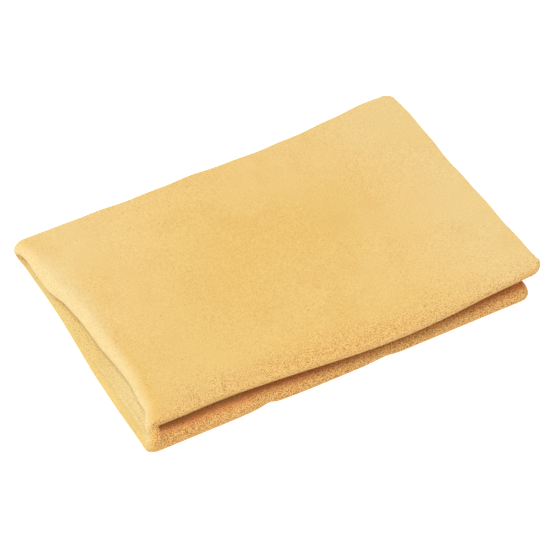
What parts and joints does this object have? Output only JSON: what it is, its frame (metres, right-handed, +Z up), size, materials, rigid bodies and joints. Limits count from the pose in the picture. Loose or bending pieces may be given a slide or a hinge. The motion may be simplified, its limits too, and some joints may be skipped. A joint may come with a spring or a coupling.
{
  "type": "folded chamois leather",
  "caption": "Soft chamois leather cloth folded into a flat pad, whose upper half swings open on the creases of its end fold; used for drying and polishing.",
  "frame": {"origin": "centre of the folded pile's outline, on its underside", "axes": "+X along the folded length, away from the end fold; +Y towards the cut edges at the back; +Z up through the plies"},
  "size_m": [0.2081, 0.142, 0.0153],
  "materials": {
    "chamois": "soft matt suede nap"
  },
  "bodies": {
    "lower_half": {"bottom_panel": "chamois", "lower_front_fold": "chamois", "lower_inner_panel": "chamois"},
    "end_fold": {"outer_end_fold": "chamois", "corner_fold": "chamois", "inner_end_fold": "chamois"},
    "upper_half": {"upper_inner_panel": "chamois", "upper_front_fold": "chamois", "top_panel": "chamois"}
  },
  "joints": [
    {"name": "lower_crease", "type": "hinge", "parent": "lower_half", "child": "end_fold", "pos_m": [-0.1041, 0, 0.0027], "axis": [0, -1, 0], "range_deg": [0, 90]},
    {"name": "upper_crease", "type": "hinge", "parent": "end_fold", "child": "upper_half", "pos_m": [-0.1041, 0, 0.0122], "axis": [0, -1, 0], "range_deg": [0, 90]}
  ],
  "couplings": [
    {"joint": "upper_crease", "follows": "lower_crease", "ratio": 1}
  ]
}
